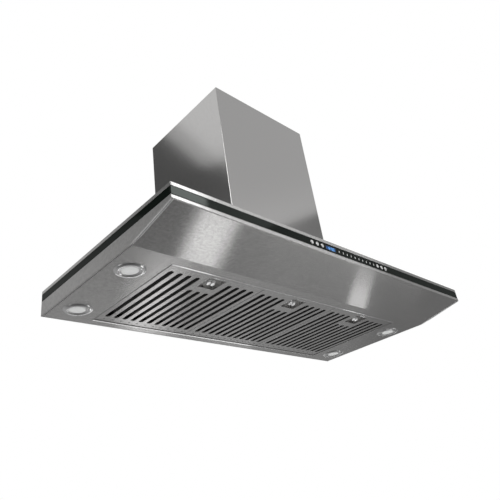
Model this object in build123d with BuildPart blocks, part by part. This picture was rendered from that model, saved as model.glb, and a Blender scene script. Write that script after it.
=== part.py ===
"""Wall-chimney range hood with a slanted front, baffle filters, lamps, blower and telescopic duct cover.

Frame: X runs along the width, with the left side (facing the hood) at -X. Y points at the wall, whose
face is y = 0, and Z is up. The origin is the centre of the four wall screw holes. Millimetres.
"""

from build123d import *
import math
import os

os.makedirs("parts", exist_ok=True)

# Driving dimensions of the canopy. OVERSHOOT is how far a cutting box reaches past the material.
WIDTH = 900.0
DEPTH = 450.0
CANOPY_TOP = -100.0
CANOPY_HEIGHT = 54.4
TOP_STRIP = 7.2
GLASS_STRIP = 16.1
LOWER_STRIP = 8.3
CREASE_DEPTH = 117.0
SHEET = 1.0
CREASE_RADIUS = 8.0
REAR_FLANGE = 12.0
SIDE_FLANGE = 2.6
SIDE_EDGE_RADIUS = 2.2
SEAM = 1.0
TOP_CORNER_RADIUS = 1.5
TOP_EDGE_RADIUS = 0.8
BEND_RADIUS = 1.6
FRONT_FOLD_RADIUS = 2.0
LEDGE_RADIUS = 0.6
OVERSHOOT = 1.0

# Glass strips and the controls behind the front one
GLASS_THICK = 4.0
GLASS_RECESS = 0.4
GLASS_GAP = 0.2
GLASS_CHAMFER = 0.5
CONTROL_DROP = 15.8
BUTTON_RADIUS = 4.2
BUTTON_PITCH = 15.2
BUTTON_OUTER_X = 123.4
BUTTON_PROUD = 0.6
BUTTON_FLANGE_RADIUS = 5.4
BUTTON_FLANGE_GAP = 0.6
BUTTON_GAP = 0.4
BUTTON_ROUND = 0.9
BUTTON_STEM = (1.8, 4.0)
DISPLAY_SIZE = (33.0, 10.4)
DISPLAY_X = -66.5
DISPLAY_RECESS = 0.3
TICK_SIZE = (1.6, 4.4)
TICK_COUNT = 10
TICK_PITCH = 13.2
TICK_FIRST_X = -40.0
HOUSING_SIZE = (272.0, 14.6, 15.4)
HOUSING_WALL = 1.2
BOARD_SETBACK = 8.0
BOARD_THICK = 1.6
SWITCH_SIZE = (6.0, 2.0)

# Filter opening and filters
OPENING_HALF_WIDTH = 351.0
OPENING_FRONT = 143.0
OPENING_REAR = 424.0
OPENING_WALL = 1.2
OPENING_WALL_HEIGHT = 14.0
OPENING_LEDGE = 12.0
OPENING_EDGE_RADIUS = 0.5
FILTER_NAMES = ("left", "middle", "right")
FILTER_PITCH = 232.8
FILTER_WIDTH = 231.4
FILTER_GAP = 1.5
FILTER_RECESS = 0.8
FILTER_HEIGHT = 12.0
FILTER_CORNER_RADIUS = 2.0
FILTER_EDGE_RADIUS = 0.9
SLOT_COUNT = 11
SLOT_PITCH = 20.0
SLOT_WIDTH = 10.4
SLOT_FRONT = 165.0
SLOT_REAR = 400.0
SHORT_SLOT_FRONT = 215.5
SLOT_LIP = 3.0
SLOT_LIP_SHEET = 0.9
DRAIN_SIZE = (6.0, 2.4)
DRAIN_DEPTH = 411.0
TAB_SIZE = (14.0, 2.4)
TAB_OFFSET = 80.0
TAB_SIDE_GAP = 1.0
TAB_GAP = 0.5
TAB_REACH = 5.0
TAB_SLOT = 4.4
TAB_ROOT = 3.0
BAFFLE_SECTION = (16.0, 5.0)
BAFFLE_SHEET = 0.8
BAFFLE_RISE = 5.6
STRAP_WIDTH = 10.0
STRAP_SETBACK = 12.0

# Latch of each filter
POCKET_SIZE = (40.0, 43.0)
POCKET_FRONT = 154.0
POCKET_RISE = 9.0
POCKET_CORNER_RADIUS = 2.0
LATCH_TRAVEL = 8.0
LATCH_CLEARANCE = 0.4
TONGUE_SIZE = (16.0, 1.2)
TONGUE_SHORT = 0.6
TONGUE_GAP = 0.6
CATCH_GAP = 1.5
KNOB_DEPTH = 179.0
KNOB_SIZE = (20.0, 12.0)
KNOB_PLATE = 2.2
KNOB_CORNER_RADIUS = 3.0
HUMP_OFFSET = 5.0
HUMP_RADIUS = 4.4
HUMP_HEIGHT = 4.4
HUMP_ROUND = 3.4
STEM_SIZE = (8.0, 7.0)
STEM_GAP = 0.5
SPRING_TAB = (8.0, 6.6)
SPRING_RADIUS = 2.2
SPRING_WIRE = 0.35
SPRING_TURNS = 6
SPRING_GAP = 0.1

# Lamps
LAMP_X = 402.0
LAMP_FRONT = 196.0
LAMP_REAR = 390.0
LAMP_HOLE_RADIUS = 25.0
BEZEL_RADIUS = 29.0
BEZEL_HEIGHT = 2.2
LENS_RADIUS = 18.4
LENS_THICK = 2.0
LENS_GAP = 0.4
LENS_PROUD = 0.9
LENS_ROUND = 0.8
BEZEL_LIP = 1.2
BEZEL_CREST = 2.6
BEZEL_SHOULDER = (2.2, 1.364)
LAMP_NECK = 1.5
LAMP_HOLE_GAP = 0.5
LAMP_BODY_RADIUS = 24.0
LAMP_BODY_HEIGHT = 27.0
RIB_COUNT = 4
RIB_START = 8.0
RIB_PITCH = 5.0
RIB_GROOVE = (2.2, 4.0)

# Duct cover
DUCT_WIDTH = 316.0
DUCT_DEPTH = 284.0
DUCT_HEIGHT = 505.0
DUCT_RETURN = 13.0
DUCT_BEND = 1.6
UPPER_GAP = 1.5
UPPER_BOTTOM = 180.0
UPPER_DROP = 1.0

# Blower
BOX_HALF_WIDTH = 100.0
BOX_DEPTH = 260.0
BOX_HEIGHT = 190.0
BOX_FLANGE = 12.0
BOX_RIM = 4.0
BOX_SCREW_X = 106.0
BOX_SCREW_DEPTHS = (-230.0, -40.0)
SCROLL_START_RADIUS = 66.0
SCROLL_STEP = 8.0
SCROLL_SHEET = 1.2
SCROLL_HALF_WIDTH = 52.0
SCROLL_INLET_RADIUS = 50.0
SCROLL_Y = -183.0
SCROLL_RISE = 86.0
IMPELLER_RADIUS = 58.0
IMPELLER_RING = 8.0
IMPELLER_HALF_WIDTH = 44.0
IMPELLER_DISC_HALF = 0.8
IMPELLER_RING_SHEET = 2.0
BLADE_COUNT = 36
BLADE_SHEET = 1.0
BLADE_ANGLE = 35.0
BLADE_SHORT = 0.6
HUB_START = -10.0
HUB_LENGTH = 18.0
HUB_RADIUS = 9.0
SHAFT_RADIUS = 4.0
SHAFT_START = -12.0
SHAFT_END = 64.0
RUNNING_CLEARANCE = 0.05
MOTOR_RADIUS = 38.0
MOTOR_START = 10.0
MOTOR_END = 70.0
MOTOR_ROUND = 4.0
MOTOR_END_WALL = 4.0
CLAMP_RING = 5.0
CLAMP_HEIGHT = 8.0
ARM_COUNT = 3
ARM_SIZE = (28.0, 12.0)
ARM_OFFSET = 14.0
ARM_SHEET = 2.0

# Outlet and back-draught flaps
COLLAR_RADIUS = 74.0
COLLAR_SHEET = 1.2
COLLAR_HEIGHT = 56.0
COLLAR_FLANGE = 12.0
COLLAR_SCREW_CIRCLE = 80.0
STOP_LIP = 1.5
STOP_GAP = 0.4
FLAP_RADIUS = 70.5
FLAP_RISE = 22.0
FLAP_SHEET = 1.0
FLAP_ROOT = 3.8
PIN_RADIUS = 2.0
KNUCKLE_RADIUS = 3.2
KNUCKLE_LENGTH = 28.0
KNUCKLE_GAP = 0.5

# Wall fixing, terminal box and screws
PLATE_HALF_WIDTH = 140.0
PLATE_SHEET = 2.0
PLATE_TOP = 70.0
PLATE_CORNER_RADIUS = 8.0
PLATE_SCREW_X = 85.0
PLATE_SCREW_LEVELS = (-60.0, 50.0)
WALL_HOLE_RADIUS = 4.0
WALL_HOLE_X = 120.0
WALL_HOLE_Z = 40.0
CANOPY_HOLE_X = 432.0
CANOPY_HOLE_RADIUS = 2.5
BRACKET_DROP = 45.0
BRACKET_HEIGHT = 25.0
BRACKET_EAR = 28.0
BRACKET_STEP = 5.0
BRACKET_INSET = 2.0
BRACKET_GAP = 1.1
BRACKET_HOLE_X = 100.0
BRACKET_HOLE_RADIUS = 3.0
TERMINAL_SIZE = (50.0, 42.0, 28.0)
TERMINAL_CORNER = (-96.0, -48.0)
TERMINAL_WALL = 2.0
TERMINAL_CORNER_RADIUS = 3.0
TERMINAL_EDGE_RADIUS = 1.5
GLAND_BORE = 3.5
GLAND_THREAD = (6.0, 7.0)
GLAND_NUT = (9.0, 5.0)
GLAND_CAP = (7.4, 9.0)
GLAND_ROUND = 2.0
SCREW_RADIUS = 2.0
SCREW_HEAD = (4.0, 2.2)
SCREW_LENGTH = 6.0
PLATE_SCREW_LENGTH = 2.8

# Levels and planes worked out from the driving dimensions
front = -DEPTH
half_width = WIDTH / 2
glass_top = CANOPY_TOP - TOP_STRIP
glass_bottom = glass_top - GLASS_STRIP
slope_top = glass_bottom - LOWER_STRIP
underside = CANOPY_TOP - CANOPY_HEIGHT
inner_floor = underside + SHEET
lamp_seat = inner_floor + LAMP_NECK
crease_y = front + CREASE_DEPTH
carrier_y = front + GLASS_RECESS + GLASS_THICK
carrier_x = half_width - GLASS_RECESS - GLASS_THICK
control_z = CANOPY_TOP - CONTROL_DROP
opening_front = front + OPENING_FRONT
opening_rear = front + OPENING_REAR
filter_front = opening_front + FILTER_GAP
filter_rear = opening_rear - FILTER_GAP
filter_face = underside + FILTER_RECESS
filter_top = filter_face + FILTER_HEIGHT
pocket_front = front + POCKET_FRONT
pocket_rear = pocket_front + POCKET_SIZE[1]
pocket_roof = filter_face + POCKET_RISE + SHEET
knob_y = front + KNOB_DEPTH
stem_start = knob_y - STEM_SIZE[1] / 2 - STEM_GAP
stem_end = knob_y + STEM_SIZE[1] / 2 + LATCH_TRAVEL + STEM_GAP
tongue_bottom = pocket_roof + LATCH_CLEARANCE
catch_top = underside + OPENING_WALL_HEIGHT - SHEET
box_front = -PLATE_SHEET - BOX_DEPTH
box_top = CANOPY_TOP + BOX_HEIGHT
scroll_z = CANOPY_TOP + SCROLL_RISE
impeller_y = SCROLL_Y + SCROLL_STEP / 2
impeller_z = scroll_z + SCROLL_STEP / 2
outlet_width = SCROLL_START_RADIUS + 3 * SCROLL_STEP
outlet_y = SCROLL_Y + outlet_width / 2
flap_axis_z = box_top + FLAP_RISE
button_spots = [side * (BUTTON_OUTER_X - n * BUTTON_PITCH) for side in (-1, 1) for n in range(3)]
tick_spots = [TICK_FIRST_X + n * TICK_PITCH for n in range(TICK_COUNT)]
slot_offsets = [(n - (SLOT_COUNT - 1) / 2) * SLOT_PITCH for n in range(SLOT_COUNT)]
filter_centres = {name: (n - 1) * FILTER_PITCH for n, name in enumerate(FILTER_NAMES)}
lamp_spots = {
    "lamp_front_left": (-LAMP_X, front + LAMP_FRONT),
    "lamp_front_right": (LAMP_X, front + LAMP_FRONT),
    "lamp_rear_left": (-LAMP_X, front + LAMP_REAR),
    "lamp_rear_right": (LAMP_X, front + LAMP_REAR),
}
box_screws = [(x, y) for x in (-BOX_SCREW_X, BOX_SCREW_X) for y in BOX_SCREW_DEPTHS]
collar_screw_offset = COLLAR_SCREW_CIRCLE / math.sqrt(2)
collar_screws = [
    (x, outlet_y + y)
    for x in (-collar_screw_offset, collar_screw_offset)
    for y in (-collar_screw_offset, collar_screw_offset)
]
plate_screws = [(x, z) for x in (-PLATE_SCREW_X, PLATE_SCREW_X) for z in PLATE_SCREW_LEVELS]


def keep(piece, name):
    """Label a finished piece and write its STEP file."""
    piece.part.label = name
    export_step(piece.part, f"parts/{name}.step")


def slope_height(y):
    """Height of the outside of the slanted front at a depth between the front and the crease."""
    share = (y - front) / CREASE_DEPTH
    return slope_top + share * (underside - slope_top)


def box_between(low, high, mode=Mode.ADD):
    """A box from its low corner to its high corner, for use inside a BuildPart block."""
    middle = [(a + b) / 2 for a, b in zip(low, high)]
    size = [b - a for a, b in zip(low, high)]
    with Locations(tuple(middle)):
        Box(*size, mode=mode)


# ---------------------------------------------------------------- canopy

# Top panel: a shallow tray whose edges fold down as the upper steel strip
with BuildPart() as top_panel:
    box_between((-half_width, front, glass_top), (half_width, 0, CANOPY_TOP))
    corners = top_panel.edges().filter_by(Axis.Z).group_by(Axis.Y)[0]
    fillet(corners, radius=TOP_CORNER_RADIUS)
    rim = top_panel.faces().sort_by(Axis.Z)[-1].edges() - top_panel.edges().group_by(Axis.Y)[-1]
    fillet(rim, radius=TOP_EDGE_RADIUS)
    box_between(
        (-half_width + SHEET, front + SHEET, glass_top),
        (half_width - SHEET, 0, CANOPY_TOP - SHEET),
        mode=Mode.SUBTRACT,
    )
    box_between(
        (-BOX_HALF_WIDTH + BOX_RIM, box_front + BOX_RIM, CANOPY_TOP - SHEET),
        (BOX_HALF_WIDTH - BOX_RIM, -2 * BOX_RIM, CANOPY_TOP),
        mode=Mode.SUBTRACT,
    )
    with BuildSketch(Plane.XY.offset(CANOPY_TOP)):
        with Locations(*box_screws):
            Circle(SCREW_RADIUS)
    extrude(amount=-SHEET, mode=Mode.SUBTRACT)
keep(top_panel, "top_panel")

# Lower shell: one folded sheet with the glass ledge, the lower strip, the slanted front and the underside
with BuildPart() as lower_shell:
    with BuildSketch(Plane.YZ):
        with BuildLine():
            FilletPolyline(
                (carrier_y, CANOPY_TOP - SHEET),
                (carrier_y, glass_bottom),
                (front, glass_bottom),
                (front, slope_top),
                (crease_y, underside),
                (-SHEET, underside),
                (-SHEET, underside + REAR_FLANGE),
                radius=[LEDGE_RADIUS, BEND_RADIUS, FRONT_FOLD_RADIUS, CREASE_RADIUS, BEND_RADIUS],
            )
            offset(amount=SHEET, side=Side.LEFT)
        make_face()
    extrude(amount=half_width, both=True)
    for side in (-1, 1):
        edges = sorted((side * (half_width - SIDE_FLANGE - SEAM), side * (half_width + OVERSHOOT)))
        box_between(
            (edges[0], front + SHEET, underside - OVERSHOOT),
            (edges[1], 0, CANOPY_TOP),
            mode=Mode.SUBTRACT,
        )
        ends = sorted((side * carrier_x, side * (half_width + OVERSHOOT)))
        box_between((ends[0], front, glass_bottom), (ends[1], 0, CANOPY_TOP), mode=Mode.SUBTRACT)
    box_between(
        (-OPENING_HALF_WIDTH - OPENING_WALL, opening_front - OPENING_WALL, underside - OVERSHOOT),
        (OPENING_HALF_WIDTH + OPENING_WALL, opening_rear + OPENING_WALL, inner_floor + OVERSHOOT),
        mode=Mode.SUBTRACT,
    )
    with BuildSketch(Plane.XY.offset(underside)):
        with Locations(*lamp_spots.values()):
            Circle(LAMP_HOLE_RADIUS)
    extrude(amount=2 * SHEET, mode=Mode.SUBTRACT)
    with BuildSketch(Plane.XZ.offset(-carrier_y - SHEET)):
        with Locations(*[(x, control_z) for x in button_spots]):
            Circle(BUTTON_FLANGE_RADIUS + BUTTON_FLANGE_GAP)
        with Locations((DISPLAY_X, control_z)):
            Rectangle(*DISPLAY_SIZE)
        with Locations(*[(x, control_z) for x in tick_spots]):
            Rectangle(*TICK_SIZE)
    extrude(amount=SHEET, mode=Mode.SUBTRACT)
keep(lower_shell, "lower_shell")


def side_panel(side):
    """One side of the canopy: a flat pan with a rolled lower edge, and the recess behind its glass."""
    outer = side * half_width
    inner = side * (half_width - SIDE_FLANGE)
    pan_front = front + SHEET
    with BuildPart() as panel:
        with BuildSketch(Plane.YZ.offset(outer)) as outline:
            with BuildLine():
                Polyline(
                    (pan_front, glass_bottom),
                    (pan_front, slope_height(pan_front)),
                    (crease_y, underside),
                    (-SHEET, underside),
                    (-SHEET, glass_bottom),
                    close=True,
                )
            make_face()
            crease = outline.vertices().filter_by_position(Axis.Y, crease_y - 1, crease_y + 1)
            fillet(crease, radius=CREASE_RADIUS)
        extrude(amount=-side * SIDE_FLANGE)
        outside = panel.faces().sort_by(Axis.X)[-1 if side > 0 else 0].edges()
        rolled = outside - outside.filter_by(Axis.Z) - outside.group_by(Axis.Z)[-1]
        fillet(rolled, radius=SIDE_EDGE_RADIUS)
        with BuildSketch(Plane.YZ.offset(inner)):
            offset(outline.sketch.moved(Location((inner - outer, 0, 0))), amount=-SHEET)
        extrude(amount=side * (SIDE_FLANGE - SHEET), mode=Mode.SUBTRACT)
        wall = sorted((side * carrier_x, side * (carrier_x - SHEET)))
        ledge = sorted((inner, side * (carrier_x - SHEET)))
        recess_front = carrier_y + SHEET
        recess_low = glass_bottom - SHEET
        box_between((wall[0], recess_front, recess_low), (wall[1], -SHEET, CANOPY_TOP - SHEET))
        box_between((ledge[0], recess_front, recess_low), (ledge[1], -SHEET, glass_bottom))
    return panel


for side, name in ((-1, "side_panel_left"), (1, "side_panel_right")):
    keep(side_panel(side), name)

# Rear panel: closes the canopy against the wall
with BuildPart() as rear_panel:
    box_between((-half_width, -SHEET, underside), (half_width, 0, glass_top))
    box_between((-half_width + SHEET, -SHEET, glass_top), (half_width - SHEET, 0, CANOPY_TOP - SHEET))
    with BuildSketch(Plane.XZ):
        with Locations((0, (underside + CANOPY_TOP) / 2)):
            with GridLocations(2 * CANOPY_HOLE_X, 1, 2, 1):
                Circle(CANOPY_HOLE_RADIUS)
    extrude(amount=SHEET, mode=Mode.SUBTRACT)
keep(rear_panel, "rear_panel")

# Opening frame: an L-section ring that stiffens the filter opening and takes the latches
with BuildPart() as opening_frame:
    wall_low = (-OPENING_HALF_WIDTH - OPENING_WALL, opening_front - OPENING_WALL)
    wall_high = (OPENING_HALF_WIDTH + OPENING_WALL, opening_rear + OPENING_WALL)
    box_between((*wall_low, underside), (*wall_high, underside + OPENING_WALL_HEIGHT))
    box_between(
        (wall_low[0] - OPENING_LEDGE, wall_low[1] - OPENING_LEDGE, inner_floor),
        (wall_high[0] + OPENING_LEDGE, wall_high[1] + OPENING_LEDGE, inner_floor + OPENING_WALL),
    )
    box_between(
        (-OPENING_HALF_WIDTH, opening_front, underside),
        (OPENING_HALF_WIDTH, opening_rear, underside + OPENING_WALL_HEIGHT),
        mode=Mode.SUBTRACT,
    )
    inner_rim = opening_frame.faces().sort_by(Axis.Z)[0].inner_wires().edges()
    fillet(inner_rim, radius=OPENING_EDGE_RADIUS)
    for centre in filter_centres.values():
        box_between(
            (centre - TONGUE_SIZE[0] / 2 - CATCH_GAP, wall_low[1] - OVERSHOOT, tongue_bottom - SHEET),
            (centre + TONGUE_SIZE[0] / 2 + CATCH_GAP, opening_front + OVERSHOOT, catch_top),
            mode=Mode.SUBTRACT,
        )
        for offset_x in (-TAB_OFFSET, TAB_OFFSET):
            x = centre + offset_x
            box_between(
                (x - TAB_SIZE[0] / 2 - TAB_SIDE_GAP, opening_rear - OVERSHOOT, filter_face - TAB_GAP),
                (x + TAB_SIZE[0] / 2 + TAB_SIDE_GAP, wall_high[1] + TAB_REACH, filter_face + TAB_SLOT),
                mode=Mode.SUBTRACT,
            )
keep(opening_frame, "opening_frame")


# ---------------------------------------------------------------- glass and controls

# Front glass strip, with holes for the buttons, the display and the level lights
with BuildPart() as glass_front:
    box_between(
        (-half_width + GLASS_RECESS, carrier_y - GLASS_THICK, glass_bottom + GLASS_GAP),
        (half_width - GLASS_RECESS, carrier_y, glass_top - GLASS_GAP),
    )
    chamfer(glass_front.edges().filter_by(Axis.X), length=GLASS_CHAMFER)
    with BuildSketch(Plane.XZ.offset(-carrier_y)):
        with Locations(*[(x, control_z) for x in button_spots]):
            Circle(BUTTON_RADIUS + BUTTON_GAP)
        with Locations((DISPLAY_X, control_z)):
            Rectangle(*DISPLAY_SIZE)
        with Locations(*[(x, control_z) for x in tick_spots]):
            Rectangle(*TICK_SIZE)
    extrude(amount=GLASS_THICK, mode=Mode.SUBTRACT)
keep(glass_front, "glass_front")


def side_glass(side):
    """The glass strip that carries the black band along one side."""
    spans = sorted((side * carrier_x, side * (carrier_x + GLASS_THICK)))
    with BuildPart() as glass:
        box_between(
            (spans[0], carrier_y + GLASS_GAP, glass_bottom + GLASS_GAP),
            (spans[1], -SHEET - GLASS_GAP, glass_top - GLASS_GAP),
        )
        chamfer(glass.edges().filter_by(Axis.Y), length=GLASS_CHAMFER)
    return glass


for side, name in ((-1, "glass_left"), (1, "glass_right")):
    keep(side_glass(side), name)

# Display: the lit panel that fills its window in the glass
with BuildPart() as display:
    with BuildSketch(Plane.XZ.offset(-carrier_y - SHEET)):
        with Locations((DISPLAY_X, control_z)):
            Rectangle(*DISPLAY_SIZE)
    extrude(amount=GLASS_THICK + SHEET - DISPLAY_RECESS)
keep(display, "display")

# Level lights: a row of light guides through the glass
with BuildPart() as level_lights:
    with BuildSketch(Plane.XZ.offset(-carrier_y - SHEET)):
        with Locations(*[(x, control_z) for x in tick_spots]):
            Rectangle(*TICK_SIZE)
    extrude(amount=GLASS_THICK + SHEET)
keep(level_lights, "level_lights")

# Control housing: an open tray behind the band that holds the circuit board
housing_front = carrier_y + SHEET
housing_top = control_z + HOUSING_SIZE[2] / 2 - SHEET
with BuildPart() as control_housing:
    box_between(
        (-HOUSING_SIZE[0] / 2, housing_front, control_z - HOUSING_SIZE[2] / 2),
        (HOUSING_SIZE[0] / 2, housing_front + HOUSING_SIZE[1], housing_top),
    )
    offset(amount=-HOUSING_WALL, openings=control_housing.faces().sort_by(Axis.Y)[0])
keep(control_housing, "control_housing")

# Control board, with one push switch behind each button
board_y = housing_front + BOARD_SETBACK
with BuildPart() as control_board:
    box_between(
        (-HOUSING_SIZE[0] / 2 + HOUSING_WALL, board_y, control_z - HOUSING_SIZE[2] / 2 + HOUSING_WALL),
        (HOUSING_SIZE[0] / 2 - HOUSING_WALL, board_y + BOARD_THICK, housing_top - HOUSING_WALL),
    )
    with BuildSketch(Plane.XZ.offset(-board_y)):
        with Locations(*[(x, control_z) for x in button_spots]):
            Rectangle(SWITCH_SIZE[0], SWITCH_SIZE[0])
    extrude(amount=SWITCH_SIZE[1])
keep(control_board, "control_board")


def button(x):
    """A round push button: domed cap through the glass, retaining flange and stem."""
    flange_front = carrier_y + BUTTON_GAP
    with BuildPart() as cap:
        with BuildSketch(Plane.XZ.offset(-flange_front)):
            with Locations((x, control_z)):
                Circle(BUTTON_RADIUS)
        extrude(amount=GLASS_THICK + GLASS_RECESS + BUTTON_PROUD + BUTTON_GAP)
        fillet(cap.faces().sort_by(Axis.Y)[0].edges(), radius=BUTTON_ROUND)
        with BuildSketch(Plane.XZ.offset(-flange_front)):
            with Locations((x, control_z)):
                Circle(BUTTON_FLANGE_RADIUS)
        extrude(amount=-SHEET)
        with BuildSketch(Plane.XZ.offset(-flange_front)):
            with Locations((x, control_z)):
                Circle(BUTTON_STEM[0])
        extrude(amount=-BUTTON_STEM[1])
    return cap


for number, x in enumerate(sorted(button_spots), start=1):
    keep(button(x), f"button_{number}")


# ---------------------------------------------------------------- lamps


def lamp_bezel(x, y):
    """Polished trim ring of a lamp, with a rounded section that stands proud of the underside."""
    bore = LENS_RADIUS + LENS_GAP
    crest = LENS_RADIUS + BEZEL_CREST
    neck = LAMP_HOLE_RADIUS - LAMP_HOLE_GAP
    with BuildPart() as bezel:
        with BuildSketch(Plane.XZ):
            with BuildLine():
                Polyline(
                    (bore, lamp_seat),
                    (bore, underside - BEZEL_LIP),
                    (crest, underside - BEZEL_HEIGHT),
                )
                ThreePointArc(
                    (crest, underside - BEZEL_HEIGHT),
                    (BEZEL_RADIUS - BEZEL_SHOULDER[0], underside - BEZEL_SHOULDER[1]),
                    (BEZEL_RADIUS, underside),
                )
                Polyline(
                    (BEZEL_RADIUS, underside),
                    (neck, underside),
                    (neck, lamp_seat),
                    (bore, lamp_seat),
                )
            make_face()
        revolve(axis=Axis.Z)
    bezel.part.position = (x, y, 0)
    return bezel


def lamp_lens(x, y):
    """Frosted cover of a lamp, slightly domed, inside the trim ring."""
    with BuildPart(Plane((x, y, underside - LENS_PROUD))) as lens:
        Cylinder(LENS_RADIUS, LENS_THICK, align=(Align.CENTER, Align.CENTER, Align.MIN))
        fillet(lens.faces().sort_by(Axis.Z)[0].edges(), radius=LENS_ROUND)
    return lens


def lamp_body(x, y):
    """Lamp housing above the underside: a can with cooling ribs and a cable outlet."""
    with BuildPart(Plane((x, y, lamp_seat))) as body:
        base = (Align.CENTER, Align.CENTER, Align.MIN)
        Cylinder(LAMP_BODY_RADIUS, LAMP_BODY_HEIGHT, align=base)
        for rib in range(RIB_COUNT):
            with Locations((0, 0, RIB_START + rib * RIB_PITCH)):
                Cylinder(LAMP_BODY_RADIUS, RIB_GROOVE[0], align=base, mode=Mode.SUBTRACT)
                Cylinder(LAMP_BODY_RADIUS - RIB_GROOVE[1], RIB_GROOVE[0], align=base)
    return body


for name, (x, y) in lamp_spots.items():
    keep(lamp_bezel(x, y), f"{name}_bezel")
    keep(lamp_lens(x, y), f"{name}_lens")
    keep(lamp_body(x, y), f"{name}_body")


# ---------------------------------------------------------------- filters


def slot_span(offset_x):
    """Front and rear ends of a slot, whose front end is set back behind the latch pocket."""
    behind_pocket = abs(offset_x) < POCKET_SIZE[0] / 2 + SLOT_WIDTH / 2
    return front + (SHORT_SLOT_FRONT if behind_pocket else SLOT_FRONT), front + SLOT_REAR


def slot_outline(centre, offset_x, grow):
    """Sketch one slot with round ends, grown by a margin, for use inside a BuildSketch block."""
    start, end = slot_span(offset_x)
    with Locations((centre + offset_x, (start + end) / 2)):
        SlotOverall(end - start + 2 * grow, SLOT_WIDTH + 2 * grow, rotation=90)


def filter_tray(centre):
    """The front half of a baffle filter: slotted face with raised lips, walls, latch pocket and tabs."""
    half = FILTER_WIDTH / 2
    with BuildPart() as tray:
        box_between((centre - half, filter_front, filter_face), (centre + half, filter_rear, filter_top))
        fillet(tray.edges().filter_by(Axis.Z), radius=FILTER_CORNER_RADIUS)
        fillet(tray.faces().sort_by(Axis.Z)[0].edges(), radius=FILTER_EDGE_RADIUS)
        with BuildSketch(Plane.XY.offset(filter_face + SHEET)):
            with Locations((centre, (filter_front + filter_rear) / 2)):
                inside = (FILTER_WIDTH - 2 * SHEET, filter_rear - filter_front - 2 * SHEET)
                RectangleRounded(*inside, FILTER_CORNER_RADIUS - SHEET)
        extrude(amount=FILTER_HEIGHT, mode=Mode.SUBTRACT)
        with BuildSketch(Plane.XY.offset(filter_face + SHEET)):
            for offset_x in slot_offsets:
                slot_outline(centre, offset_x, SLOT_LIP_SHEET)
        extrude(amount=SLOT_LIP)
        with BuildSketch(Plane.XY.offset(filter_face)):
            for offset_x in slot_offsets:
                slot_outline(centre, offset_x, 0)
            with Locations(*[(centre + offset_x, front + DRAIN_DEPTH) for offset_x in slot_offsets]):
                SlotOverall(*DRAIN_SIZE)
        extrude(amount=SHEET + SLOT_LIP, mode=Mode.SUBTRACT)
        pocket_y = (pocket_front + pocket_rear) / 2
        with BuildSketch(Plane.XY.offset(filter_face + SHEET)):
            with Locations((centre, pocket_y)):
                outside = (POCKET_SIZE[0] + 2 * SHEET, POCKET_SIZE[1] + 2 * SHEET)
                RectangleRounded(*outside, POCKET_CORNER_RADIUS + SHEET)
        extrude(amount=POCKET_RISE)
        with BuildSketch(Plane.XY.offset(filter_face)):
            with Locations((centre, pocket_y)):
                RectangleRounded(*POCKET_SIZE, POCKET_CORNER_RADIUS)
        extrude(amount=POCKET_RISE, mode=Mode.SUBTRACT)
        box_between(
            (centre - STEM_SIZE[0] / 2 - STEM_GAP, stem_start, pocket_roof - SHEET),
            (centre + STEM_SIZE[0] / 2 + STEM_GAP, stem_end, pocket_roof),
            mode=Mode.SUBTRACT,
        )
        box_between(
            (centre - TONGUE_SIZE[0] / 2 - TONGUE_GAP, filter_front - OVERSHOOT, pocket_roof),
            (centre + TONGUE_SIZE[0] / 2 + TONGUE_GAP, filter_front + 2 * SHEET, filter_top),
            mode=Mode.SUBTRACT,
        )
        box_between(
            (centre - SPRING_TAB[0] / 2, pocket_rear, pocket_roof - SHEET),
            (centre + SPRING_TAB[0] / 2, pocket_rear + SHEET, pocket_roof + SPRING_TAB[1]),
        )
        for offset_x in (-TAB_OFFSET, TAB_OFFSET):
            x = centre + offset_x
            box_between(
                (x - TAB_SIZE[0] / 2, filter_rear - TAB_ROOT, filter_face),
                (x + TAB_SIZE[0] / 2, filter_rear + TAB_SIZE[1], filter_face + SHEET),
            )
    return tray


def filter_baffles(centre):
    """The rear half of a baffle filter: a channel over each slot, tied together by two cross straps."""
    low = filter_face + BAFFLE_RISE
    width, height = BAFFLE_SECTION
    strap_low = low + height
    with BuildPart() as baffles:
        for offset_x in slot_offsets:
            x = centre + offset_x
            behind_pocket = slot_span(offset_x)[0] > front + SLOT_FRONT
            start = pocket_rear + 2 * SHEET if behind_pocket else filter_front + SHEET
            box_between((x - width / 2, start, low), (x + width / 2, filter_rear - SHEET, strap_low))
            box_between(
                (x - width / 2 + BAFFLE_SHEET, start, low),
                (x + width / 2 - BAFFLE_SHEET, filter_rear - SHEET, strap_low - BAFFLE_SHEET),
                mode=Mode.SUBTRACT,
            )
        reach = slot_offsets[-1] + width / 2
        for y in (pocket_rear + STRAP_SETBACK, filter_rear - SHEET - STRAP_WIDTH):
            box_between(
                (centre - reach, y, strap_low),
                (centre + reach, y + STRAP_WIDTH, strap_low + BAFFLE_SHEET),
            )
    return baffles


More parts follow.
